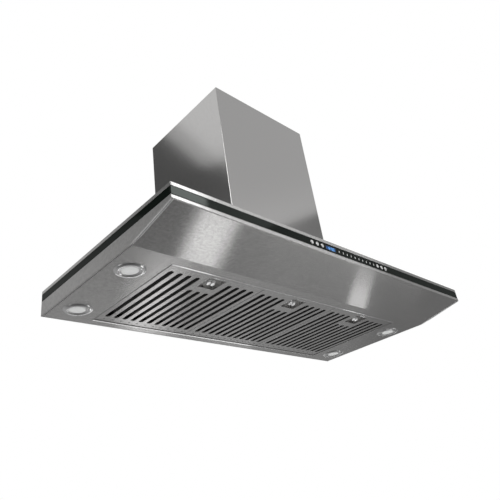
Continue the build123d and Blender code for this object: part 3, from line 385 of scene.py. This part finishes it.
def chrome(name="chrome", roughness=0.10, level=0.80, metallic=1.0):
    """Plated or polished metal with faint smears and scratches. Below 1, metallic makes it milky."""
    material, tree, shader = new_material(name, Metallic=metallic)
    place = place_of(tree)
    smear = noise(tree, place, (5 * MM, 5 * MM, 5 * MM), 4.0)
    scratch = grain_noise(tree, place, "X", (0.2 * MM, 6 * MM), 2.0, 4.0)
    set_inputs(
        shader,
        {
            "Base Color": mixed(tree, smear, grey(level * 0.94), grey(level * 1.06)),
            "Roughness": ranged(tree, smear, roughness, roughness + 0.07),
            "Normal": bumped(tree, scratch, 0.01 * MM, 0.15, soft_edges(tree, 0.2 * MM)),
        },
    )
    return material


def frosted_lens():
    """Frosted diffuser with a fine prism grid moulded in, and a faint painted glow though its lamp is off.
    """
    # The faint emission is painted light: the lens glows though the lamp is off
    material, tree, shader = new_material(
        "frosted_lens", IOR=1.49, **{"Emission Color": grey(0.9), "Emission Strength": 0.05}
    )
    place = place_of(tree)
    cell = add_node(
        tree,
        "ShaderNodeTexVoronoi",
        {"feature": "F1"},
        {"Vector": place, "Scale": PRISM_SCALE, "Randomness": 0.15},
    ).outputs["Distance"]
    grime = noise(tree, place, (12 * MM, 12 * MM, 12 * MM), 3.0)
    set_inputs(
        shader,
        {
            "Base Color": mixed(tree, grime, (0.76, 0.77, 0.76, 1.0), (0.86, 0.87, 0.86, 1.0)),
            "Roughness": ranged(tree, grime, 0.38, 0.5),
            "Normal": bumped(tree, cell, 0.3 * MM, 0.35),
        },
    )
    return material


def aluminium():
    """Turned or pressed aluminium with fine rings of tool marks blurred into a grain."""
    material, tree, shader = new_material("lamp_aluminium", Metallic=1.0)
    place = place_of(tree)
    ring = grain_noise(tree, place, "Z", (6 * MM, 0.3 * MM), 3.0)
    cloud = noise(tree, place, (20 * MM, 20 * MM, 20 * MM), 3.0, 2.0)
    set_inputs(
        shader,
        {
            "Base Color": mixed(tree, cloud, grey(0.62), grey(0.74)),
            "Roughness": ranged(tree, cloud, 0.28, 0.4),
            "Normal": bumped(tree, ring, 0.03 * MM, 0.3, soft_edges(tree, 0.3 * MM)),
        },
    )
    return material


def moulded_plastic(name, level, roughness=0.42, grain_size=0.6 * MM):
    """Moulded plastic with a fine spark-eroded grain."""
    material, tree, shader = new_material(name)
    place = place_of(tree)
    pebble = noise(tree, place, (grain_size, grain_size, grain_size), 2.0)
    cloud = noise(tree, place, (25 * MM, 25 * MM, 25 * MM), 3.0, 6.0)
    set_inputs(
        shader,
        {
            "Base Color": mixed(tree, cloud, grey(level * 0.8), grey(level * 1.25)),
            "Roughness": ranged(tree, cloud, roughness, roughness + 0.12),
            "Normal": bumped(tree, pebble, 0.05 * MM, 0.35, soft_edges(tree, 0.3 * MM)),
        },
    )
    return material


def circuit_board():
    """Green solder mask over faint copper tracks."""
    material, tree, shader = new_material("circuit_board", **{"Coat Weight": 0.3})
    place = place_of(tree)
    tracks = add_node(
        tree,
        "ShaderNodeTexBrick",
        inputs={
            "Vector": place,
            "Scale": TRACK_SCALE,
            "Mortar Size": 0.06,
            "Color1": (0.01, 0.10, 0.035, 1.0),
            "Color2": (0.012, 0.12, 0.04, 1.0),
            "Mortar": (0.03, 0.20, 0.07, 1.0),
        },
    )
    cloud = noise(tree, place, (15 * MM, 15 * MM, 15 * MM), 2.0)
    set_inputs(
        shader,
        {
            "Base Color": tracks.outputs["Color"],
            "Roughness": ranged(tree, cloud, 0.25, 0.4),
            "Normal": bumped(tree, tracks.outputs["Fac"], 0.05 * MM, 0.3),
        },
    )
    return material


def lit_panel(name, dark, bright, strength, cell=0.5 * MM):
    """A backlit panel: a faint cell grid over its own light."""
    material, tree, shader = new_material(
        name, Roughness=0.25, **{"Emission Strength": strength}
    )
    place = place_of(tree)
    glow = noise(tree, place, (9 * MM, 9 * MM, 5 * MM), 2.0)
    grid = add_node(
        tree, "ShaderNodeTexVoronoi", inputs={"Vector": place, "Scale": 1 / cell, "Randomness": 0.0}
    ).outputs["Distance"]
    share = maths(tree, "MULTIPLY", ranged(tree, glow, 0.2, 1.0), ranged(tree, grid, 1.0, 0.8, 0.0, 0.7))
    colour = mixed(tree, share, dark, bright)
    set_inputs(shader, {"Base Color": colour, "Emission Color": colour})
    return material


def painted_metal(name, level=0.035, roughness=0.35):
    """Black enamel with a slight orange-peel."""
    material, tree, shader = new_material(name, **{"Coat Weight": 0.2})
    place = place_of(tree)
    peel = noise(tree, place, (1.6 * MM, 1.6 * MM, 1.6 * MM), 2.0)
    dust = noise(tree, place, (30 * MM, 30 * MM, 30 * MM), 4.0, 9.0)
    set_inputs(
        shader,
        {
            "Base Color": mixed(tree, dust, grey(level * 0.7), grey(level * 1.4)),
            "Roughness": ranged(tree, dust, roughness, roughness + 0.15),
            "Normal": bumped(tree, peel, 0.08 * MM, 0.3, soft_edges(tree, 0.4 * MM)),
        },
    )
    return material


def dress(material, *names):
    """Gives every surface of these CAD nodes the material."""
    for name in names:
        for slot in nodes[name].material_slots:
            slot.material = material


# --------------------------------------------------------------- small details


def add_piece(name, mesh, material, body="hood"):
    """Turns a bmesh into a piece that moves with the body and takes its finish from the slot."""
    bmesh.ops.remove_doubles(mesh, verts=mesh.verts, dist=JOIN_DISTANCE)
    bmesh.ops.recalc_face_normals(mesh, faces=mesh.faces)
    data = bpy.data.meshes.new(name)
    mesh.to_mesh(data)
    mesh.free()
    data.materials.append(material)
    piece = bpy.data.objects.new(name, data)
    bpy.context.scene.collection.objects.link(piece)
    data.set_sharp_from_angle(angle=SHARP_ANGLE)
    for face in data.polygons:
        face.use_smooth = True
    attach(piece, body)
    return piece


def sweep_outline(mesh, outline, places):
    """Skins the closed outline over the places, and caps it.

    Each place is a function from a point of the outline to a point in space.
    """
    rings = [[mesh.verts.new(place(point)) for point in outline] for place in places]
    count = len(outline)
    for near, far in zip(rings, rings[1:]):
        for n in range(count):
            after = (n + 1) % count
            mesh.faces.new((near[n], near[after], far[after], far[n]))
    mesh.faces.new(rings[0])
    mesh.faces.new(rings[-1])


def revolve_outline(mesh, outline, centre, axis, steps=48):
    """Turns a closed outline of (radius, height) points about the axis through the centre."""
    upright = Vector((0, 0, 1)).rotation_difference(Vector(axis)).to_matrix()
    rings = []
    for step in range(steps):
        angle = 2 * math.pi * step / steps
        turned = [(r * math.cos(angle), r * math.sin(angle), h) for r, h in outline]
        rings.append([mesh.verts.new(Vector(centre) + upright @ Vector(point)) for point in turned])
    count = len(outline)
    for near, far in zip(rings, rings[1:] + rings[:1]):
        for n in range(count):
            after = (n + 1) % count
            mesh.faces.new((near[n], near[after], far[after], far[n]))


def round_outline(radius, centre=(0.0, 0.0), steps=10):
    """A circle of points, for the section of a wire or bead."""
    angles = [2 * math.pi * step / steps for step in range(steps)]
    return [(centre[0] + radius * math.cos(a), centre[1] + radius * math.sin(a)) for a in angles]


def add_hem(name, ends, edge, direction, level, material, body="hood", drop=HEM_DROP, width=HEM_WIDTH):
    """A folded hem along X: a thin wedge under the sheet whose sloping face runs back from the edge."""
    outline = [
        (edge, level),
        (edge, level - drop),
        (edge + direction * HEM_LAND, level - drop),
        (edge + direction * width, level),
    ]
    mesh = bmesh.new()
    places = [lambda point, x=x: (x, *point) for x in ends]
    sweep_outline(mesh, outline, places)
    add_piece(name, mesh, material, body)


def add_button_ring(name, button, material):
    """A thin rubber ring that seals a button's hole in the glass."""
    low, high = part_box(button)
    centre = ((low[0] + high[0]) / 2, GLASS_FACE, (low[2] + high[2]) / 2)
    radius = BUTTON_RADIUS + RING_GAP
    mesh = bmesh.new()
    revolve_outline(mesh, round_outline(RING_WIRE, (radius, 0.0)), centre, (0, -1, 0))
    add_piece(name, mesh, material)


# The bars of a seven-segment digit: how far across and up the middle is, and whether it is upright
SEGMENTS = {
    "top": (0.5, 1.0, False),
    "middle": (0.5, 0.5, False),
    "bottom": (0.5, 0.0, False),
    "upper_left": (0.0, 0.75, True),
    "upper_right": (1.0, 0.75, True),
    "lower_left": (0.0, 0.25, True),
    "lower_right": (1.0, 0.25, True),
}
# The bars that stay dark, for each digit in use
UNLIT_SEGMENTS = {
    "1": ("top", "middle", "bottom", "upper_left", "lower_left"),
    "2": ("upper_left", "lower_right"),
    "0": ("middle",),
}


def add_segment(mesh, centre, length, upright):
    """One bar of a seven-segment digit, with pointed ends."""
    half, thick = length / 2, DIGIT_STROKE / 2
    outline = [
        (-half, 0),
        (-half + thick, thick),
        (half - thick, thick),
        (half, 0),
        (half - thick, -thick),
        (-half + thick, -thick),
    ]
    if upright:
        outline = [(-v, u) for u, v in outline]
    places = [
        lambda point, y=y: (centre[0] + point[0], y, centre[1] + point[1])
        for y in (DISPLAY_FACE, DISPLAY_FACE - DIGIT_RISE)
    ]
    sweep_outline(mesh, outline, places)


def add_clock(name, digits, material):
    """A seven-segment clock on the display."""
    low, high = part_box("display")
    middle_x, middle_z = (low[0] + high[0]) / 2, (low[2] + high[2]) / 2
    width, height = DIGIT_SIZE
    half = len(digits) // 2
    mesh = bmesh.new()
    for place, digit in enumerate(digits):
        left = middle_x + (place - half) * DIGIT_PITCH + (COLON_GAP if place >= half else -COLON_GAP)
        left += (DIGIT_PITCH - width) / 2
        for segment, (across, up, upright) in SEGMENTS.items():
            if segment in UNLIT_SEGMENTS[digit]:
                continue
            centre = (left + across * width, middle_z + (up - 0.5) * height)
            length = (height / 2 if upright else width) - SEGMENT_GAP
            add_segment(mesh, centre, length, upright)
    for rise in (-height / 4, height / 4):
        add_segment(mesh, (middle_x, middle_z + rise), COLON_DOT, True)
    add_piece(name, mesh, material)


def add_grip_pads(name, centre, material, body):
    """The latch's two crowned finger pads, tilted towards the front."""
    mesh = bmesh.new()
    for side in (-1, 1):
        places = [
            lambda point, side=side, scale=scale, rise=rise: (
                centre[0] + side * PAD_OFFSET + scale * point[0],
                centre[1] + scale * point[1],
                centre[2] + rise - math.tan(PAD_TILT) * scale * point[1],
            )
            for scale, rise in PAD_CROWN
        ]
        sweep_outline(mesh, round_outline(PAD_RADIUS, steps=PAD_SIDES), places)
    add_piece(name, mesh, material, body)


def add_edge_bead(name, side, material):
    """The dressed edge of the slanted front, a flat bead over its joint with the side panel."""
    (near_y, near_z), (far_y, far_z) = SLOPE_LINE
    run, rise = far_y - near_y, far_z - near_z
    down = Vector((0, run, rise)).normalized().cross(Vector((1, 0, 0)))
    places = [
        lambda point, share=share, scale=scale: Vector(
            (side * BEAD_X, near_y + share * run, near_z + share * rise)
        )
        + Vector((scale * point[0], 0, 0))
        + down * scale * point[1] / 2
        for share, scale in BEAD_STATIONS
    ]
    mesh = bmesh.new()
    sweep_outline(mesh, round_outline(BEAD_RADIUS, steps=BEAD_SIDES), places)
    add_piece(name, mesh, material)


def add_display_frame(name, material):
    """The black printed border of the display, as a thin frame with mitred corners."""
    low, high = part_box("display")
    section = (
        (-FRAME_OVERLAP, 0.0),
        (-FRAME_OVERLAP, FRAME_RISE),
        (FRAME_WIDTH, FRAME_RISE),
        (FRAME_WIDTH, 0.0),
    )
    corners = (
        (low[0], low[2], 1, 1),
        (high[0], low[2], -1, 1),
        (high[0], high[2], -1, -1),
        (low[0], high[2], 1, -1),
    )
    mesh = bmesh.new()
    rings = [
        [
            mesh.verts.new((x + inward * right, DISPLAY_FACE - rise, z + inward * up))
            for inward, rise in section
        ]
        for x, z, right, up in corners
    ]
    for near, far in zip(rings, rings[1:] + rings[:1]):
        for n in range(len(section)):
            after = (n + 1) % len(section)
            mesh.faces.new((near[n], near[after], far[after], far[n]))
    add_piece(name, mesh, material)


def add_lamp_trim(name, lens, level, material):
    """The conical trim that holds a lamp's lens in its ring."""
    low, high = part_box(lens)
    centre = ((low[0] + high[0]) / 2, (low[1] + high[1]) / 2, level)
    mesh = bmesh.new()
    revolve_outline(mesh, TRIM_OUTLINE, centre, UPRIGHT, TRIM_SIDES)
    add_piece(name, mesh, material)


def add_inlet_guard(name, side, material):
    """A guard of wire rings and spokes over one inlet of the scroll."""
    low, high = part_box("scroll_housing")
    face = (high[0] if side > 0 else low[0]) + side * GUARD_WIRE
    spin_low, spin_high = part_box("impeller")
    centre = (face, (spin_low[1] + spin_high[1]) / 2, (spin_low[2] + spin_high[2]) / 2)
    mesh = bmesh.new()
    for radius in GUARD_RINGS:
        revolve_outline(mesh, round_outline(GUARD_WIRE, (radius, 0.0)), centre, (1, 0, 0))
    for spoke in range(GUARD_SPOKES):
        angle = 2 * math.pi * spoke / GUARD_SPOKES
        outward = Vector((0, math.cos(angle), math.sin(angle)))
        sideways = Vector((0, -math.sin(angle), math.cos(angle)))
        ends = (GUARD_RINGS[0], GUARD_RINGS[-1] + GUARD_FOOT)
        places = [
            lambda point, end=end: Vector(centre)
            + outward * end
            + sideways * point[0]
            + Vector((point[1], 0, 0))
            for end in ends
        ]
        sweep_outline(mesh, round_outline(GUARD_WIRE), places)
    add_piece(name, mesh, material)


def add_latch_coil(side, material):
    """The latch's coil spring, a fixed helix wound in the CAD spring's place, which is hidden."""
    body = f"filter_{side}"
    low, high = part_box(f"{body}_latch_spring")
    centre_x, centre_z = (low[0] + high[0]) / 2, (low[2] + high[2]) / 2
    radius = (high[0] - low[0]) / 2 - SPRING_WIRE
    start, length = low[1] + SPRING_WIRE, high[1] - low[1] - 2 * SPRING_WIRE
    steps = SPRING_TURNS * SPRING_STEPS

    def wire_place(step):
        """Puts the wire's section where this step of the coil is."""
        angle = 2 * math.pi * SPRING_TURNS * step / steps
        outward = Vector((math.cos(angle), 0, math.sin(angle)))
        along = Vector((0, 1, 0))
        centre = Vector((centre_x, start, centre_z)) + along * length * step / steps
        return lambda point: centre + outward * (radius + point[0]) + along * point[1]

    places = [wire_place(step) for step in range(steps + 1)]
    mesh = bmesh.new()
    sweep_outline(mesh, round_outline(SPRING_WIRE, steps=SPRING_SIDES), places)
    coil = add_piece(f"{body}_latch_coil", mesh, material, body)
    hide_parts(f"{body}_latch_spring")
    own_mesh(coil)


# --------------------------------------------------------------- studio, camera


def ramp(tree, value, stops):
    """A grey level that passes through the (place, level) stops as value grows."""
    node = add_node(tree, "ShaderNodeValToRGB", inputs={"Fac": value})
    elements = node.color_ramp.elements
    node.color_ramp.interpolation = "EASE"
    for element, (place, level) in zip(elements, (stops[0], stops[-1])):
        element.position = place
        element.color = grey(level)
    for place, level in stops[1:-1]:
        elements.new(place).color = grey(level)
    return node.outputs["Color"]


def add_world():
    """White to the camera, and a soft grey room to everything else."""
    world = bpy.data.worlds.new("studio")
    bpy.context.scene.world = world
    world.use_nodes = True
    tree = world.node_tree
    tree.nodes.clear()
    direction = add_node(tree, "ShaderNodeTexCoord").outputs["Generated"]
    parts = add_node(tree, "ShaderNodeSeparateXYZ", inputs={"Vector": direction})
    upward = ranged(tree, parts.outputs["Z"], 0.0, 1.0, -1.0, 1.0)
    rightward = ranged(tree, parts.outputs["X"], 0.0, 1.0, -1.0, 1.0)
    by_height = ramp(tree, upward, WORLD_BY_HEIGHT)
    by_side = ramp(tree, rightward, WORLD_BY_SIDE)
    light = mixed(tree, 1.0, by_height, by_side, "MULTIPLY")
    room = add_node(tree, "ShaderNodeBackground", inputs={"Color": light})
    backdrop = add_node(tree, "ShaderNodeBackground", inputs={"Color": grey(1.0)})
    seen = add_node(tree, "ShaderNodeLightPath").outputs["Is Camera Ray"]
    mix = add_node(tree, "ShaderNodeMixShader", inputs={0: seen})
    output = tree.nodes.new("ShaderNodeOutputWorld")
    tree.links.new(room.outputs["Background"], mix.inputs[1])
    tree.links.new(backdrop.outputs["Background"], mix.inputs[2])
    tree.links.new(mix.outputs["Shader"], output.inputs["Surface"])


def add_softbox(name, place, target, size, radiance, along=(0.0, 1.0, 0.0)):
    """A softbox that stands at place, faces target and is as bright as radiance.

    Its size is its width and its length, and the length lies along the last vector.
    """
    data = bpy.data.lights.new(name, "AREA")
    data.shape = "RECTANGLE"
    data.size, data.size_y = size
    data.energy = radiance * math.pi * size[0] * size[1]
    light = bpy.data.objects.new(name, data)
    bpy.context.scene.collection.objects.link(light)
    back = (Vector(place) - Vector(target)).normalized()
    length = (Vector(along) - Vector(along).dot(back) * back).normalized()
    turn = Matrix((length.cross(back), length, back)).transposed()
    light.matrix_world = Matrix.Translation(place) @ turn.to_4x4()
    light.visible_camera = False


def add_floor():
    """A pale floor, which lights the hood and isn't seen in its reflections."""
    material, tree, shader = new_material(
        "pale_floor", Roughness=0.7, **{"Emission Color": grey(1.0), "Emission Strength": 0.3}
    )
    cloud = noise(tree, place_of(tree), (FLOOR_CLOUD, FLOOR_CLOUD, FLOOR_CLOUD), 3.0)
    set_inputs(shader, {"Base Color": mixed(tree, cloud, grey(0.78), grey(0.84))})
    bpy.ops.mesh.primitive_plane_add(size=FLOOR_SIZE, location=(0.0, 0.0, FLOOR_HEIGHT))
    floor = bpy.context.active_object
    floor.name = "studio_floor"
    floor.data.materials.append(material)
    floor.visible_glossy = False


def add_camera():
    """The camera, placed and aimed as solved from the photo."""
    data = bpy.data.cameras.new("camera")
    data.sensor_width = SENSOR
    data.lens = LENS
    camera = bpy.data.objects.new("camera", data)
    bpy.context.scene.collection.objects.link(camera)
    azimuth, elevation = math.radians(CAMERA_AZIMUTH), math.radians(CAMERA_ELEVATION)
    forward = Vector(
        (
            -math.sin(azimuth) * math.cos(elevation),
            math.cos(azimuth) * math.cos(elevation),
            math.sin(elevation),
        )
    )
    camera.rotation_mode = "QUATERNION"
    camera.rotation_quaternion = forward.to_track_quat("-Z", "Y") @ Quaternion(
        (0, 0, 1), math.radians(CAMERA_ROLL)
    )
    camera.location = CAMERA_PLACE
    bpy.context.scene.camera = camera


# --------------------------------------------------------------------- the hood

FILTERS = ("left", "middle", "right")
LAMPS = [f"lamp_{row}_{side}" for row in ("front", "rear") for side in ("left", "right")]
BUTTONS = [f"button_{number}" for number in range(1, 7)]
SIDES = ((-1, "left"), (1, "right"))

shell_steel = brushed_steel("brushed_steel_shell", "X", roughness=0.17)
side_steel = brushed_steel("brushed_steel_side", "Y")
duct_steel = brushed_steel("brushed_steel_duct", "Z", roughness=0.11, spread=0.4, contrast=0.03)
filter_steel = brushed_steel("filter_steel", "X", roughness=0.15)
# The baffles' steel is much darker than the filters' own: painted shade for the shadowed channels behind
# the slots
baffle_steel_painted_shade = brushed_steel("baffle_steel_painted_shade", "Y", level=0.22, roughness=0.35)
inner_steel = plain_steel("inner_steel")
spring_steel = plain_steel("spring_steel", 0.5, 0.2, 0.1 * MM)

dress(shell_steel, "top_panel", "lower_shell", "opening_frame")
dress(side_steel, "side_panel_left", "side_panel_right")
dress(duct_steel, "duct_cover_lower", "duct_cover_upper")
dress(
    inner_steel,
    "rear_panel",
    "mounting_plate",
    "upper_bracket",
    "blower_box",
    "scroll_housing",
    "motor_bracket",
    "outlet_collar",
)
dress(spring_steel, "motor_shaft", "flap_pin", "screws")
dress(black_glass(), "glass_front")
dress(black_glass("black_glass_side", 0.06), "glass_left", "glass_right")
dress(lit_panel("display", (0.004, 0.03, 0.10, 1.0), (0.01, 0.09, 0.30, 1.0), 0.5), "display")
dress(lit_panel("light_guide", grey(0.6), grey(0.9), 0.45), "level_lights")
dress(moulded_plastic("black_plastic", 0.02), "control_housing", "terminal_box", "cable_gland")
dress(circuit_board(), "control_board")
dress(moulded_plastic("impeller_plastic", 0.03, 0.5, 1.0 * MM), "impeller")
dress(painted_metal("motor_black"), "motor")

polished = chrome()
dress(chrome("button_chrome", 0.22, 0.92), *BUTTONS)
dress(polished, *[f"{lamp}_bezel" for lamp in LAMPS])
dress(frosted_lens(), *[f"{lamp}_lens" for lamp in LAMPS])
lamp_metal = aluminium()
dress(lamp_metal, *[f"{lamp}_body" for lamp in LAMPS])
dress(lamp_metal, "damper_flap_front", "damper_flap_rear")
dress(chrome("latch_chrome", 0.35, 0.95), *[f"filter_{side}_latch" for side in FILTERS])
for side in FILTERS:
    dress(filter_steel, f"filter_{side}_tray")
    dress(baffle_steel_painted_shade, f"filter_{side}_baffles")

hem_steel = chrome("hem_steel", 0.08, 0.85)
pad_nickel = chrome("pad_nickel", 0.12, 0.94, 0.4)
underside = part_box("lower_shell")[0][2]
tray_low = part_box("filter_left_tray")[0]
opening_ends = (tray_low[0] - FILTER_GAP, -tray_low[0] + FILTER_GAP)
add_hem("opening_hem_front", opening_ends, tray_low[1] - FILTER_GAP, -1, underside, hem_steel)
add_hem(
    "opening_hem_rear",
    opening_ends,
    OPENING_REAR,
    1,
    underside,
    hem_steel,
    drop=REAR_HEM_DROP,
    width=REAR_HEM_WIDTH,
)
for side in FILTERS:
    grip_low, grip_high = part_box(f"filter_{side}_latch")
    middle = (grip_low[0] + grip_high[0]) / 2
    ends = (middle - POCKET_HEM_HALF, middle + POCKET_HEM_HALF)
    body = f"filter_{side}"
    add_hem(
        f"{body}_pocket_hem",
        ends,
        POCKET_FRONT,
        -1,
        tray_low[2],
        hem_steel,
        body,
        POCKET_HEM_DROP,
        POCKET_HEM_WIDTH,
    )
    add_grip_pads(f"{body}_grip_pads", (middle, PAD_Y, grip_low[2]), pad_nickel, f"latch_{side}")
    add_latch_coil(side, spring_steel)

rubber = moulded_plastic("rubber", 0.012, 0.6, 0.4 * MM)
for number, button in enumerate(BUTTONS, 1):
    add_button_ring(f"button_ring_{number}", button, rubber)
digit_light = lit_panel("digit_light", (0.10, 0.32, 0.75, 1.0), (0.20, 0.50, 0.95, 1.0), 0.7)
add_clock("display_clock", "1200", digit_light)
add_display_frame("display_frame", rubber)
satin = chrome("satin_chrome", 0.3, 0.85)
for lamp in LAMPS:
    add_lamp_trim(f"{lamp}_trim", f"{lamp}_lens", underside, satin)
for side, name in SIDES:
    add_edge_bead(f"edge_bead_{name}", side, satin)
for side, name in SIDES:
    add_inlet_guard(f"inlet_guard_{name}", side, spring_steel)

add_world()
add_floor()
# Each light is named after what it brightens or where it stands
add_softbox("overhead", (0.2, -1.4, 2.2), (0.2, -1.4, 0.0), (6.0, 4.74), 0.40, CARD_ALONG)
add_softbox("left_overhead", (-2.0, 0.9, 2.15), (-2.0, 0.9, 0.0), (1.4, 1.3), 0.25, CARD_ALONG)
add_softbox("left_card", (-1.5, 1.5, 0.72), (-0.45, -0.2, -0.1), (1.3, 0.9), 0.25, UPRIGHT)
add_softbox("band_light", (0.210, 0.0, -0.80), (0.210, 0.0, 0.0), (0.160, 0.34), 1.22, (0.12, 0.993, 0.0))
add_softbox("filter_light", (0.535, 1.07, -0.80), (0.535, 1.07, 0.0), (0.16, 0.52), 1.6, (0.08, 0.997, 0.0))
add_softbox("hem_light", (0.75, -0.25, -0.80), (0.75, -0.25, 0.0), (1.30, 0.04), 1.2)
add_softbox("low_left_light", (-0.95, 0.10, -0.85), (-0.45, -0.35, -0.15), (0.40, 0.30), 1.0)
add_softbox("patch_light", (1.14, 0.06, -0.80), (0.14, -0.34, -0.15), (0.08, 0.06), 3.2, (0.0, 0.8, 0.6))
add_softbox("front_card", (1.30, -1.73, 0.40), (1.30, -0.45, 0.10), (1.50, 0.80), 1.1, UPRIGHT)
add_softbox("right_card", (3.0, -1.73, 0.40), (3.0, -0.45, 0.10), (1.80, 0.80), 0.45, UPRIGHT)
add_softbox("key_light", (0.58, -1.70, 1.00), (-0.40, -0.45, -0.10), (0.25, 0.40), 2.7, UPRIGHT)
add_softbox("edge_light", (-1.30, -1.50, 1.30), (-0.15, -0.30, 0.15), (0.60, 0.60), 5.0)
add_softbox("rear_strip", (2.0, 1.8, 0.0), (0.0, -0.3, 0.0), (3.2, 0.5), 1.6, UPRIGHT)
add_softbox("rear_low_strip", (0.95, 1.8, -0.43), (0.0, -0.03, -0.15), (1.3, 0.24), 1.2, UPRIGHT)
add_softbox("low_strip", (0.5, -0.75, -1.07), (-0.3, -0.03, -0.15), (1.1, 0.16), 2.0, (0.0, 0.6, -0.5))
add_camera()
bpy.context.scene.view_settings.view_transform = "Standard"
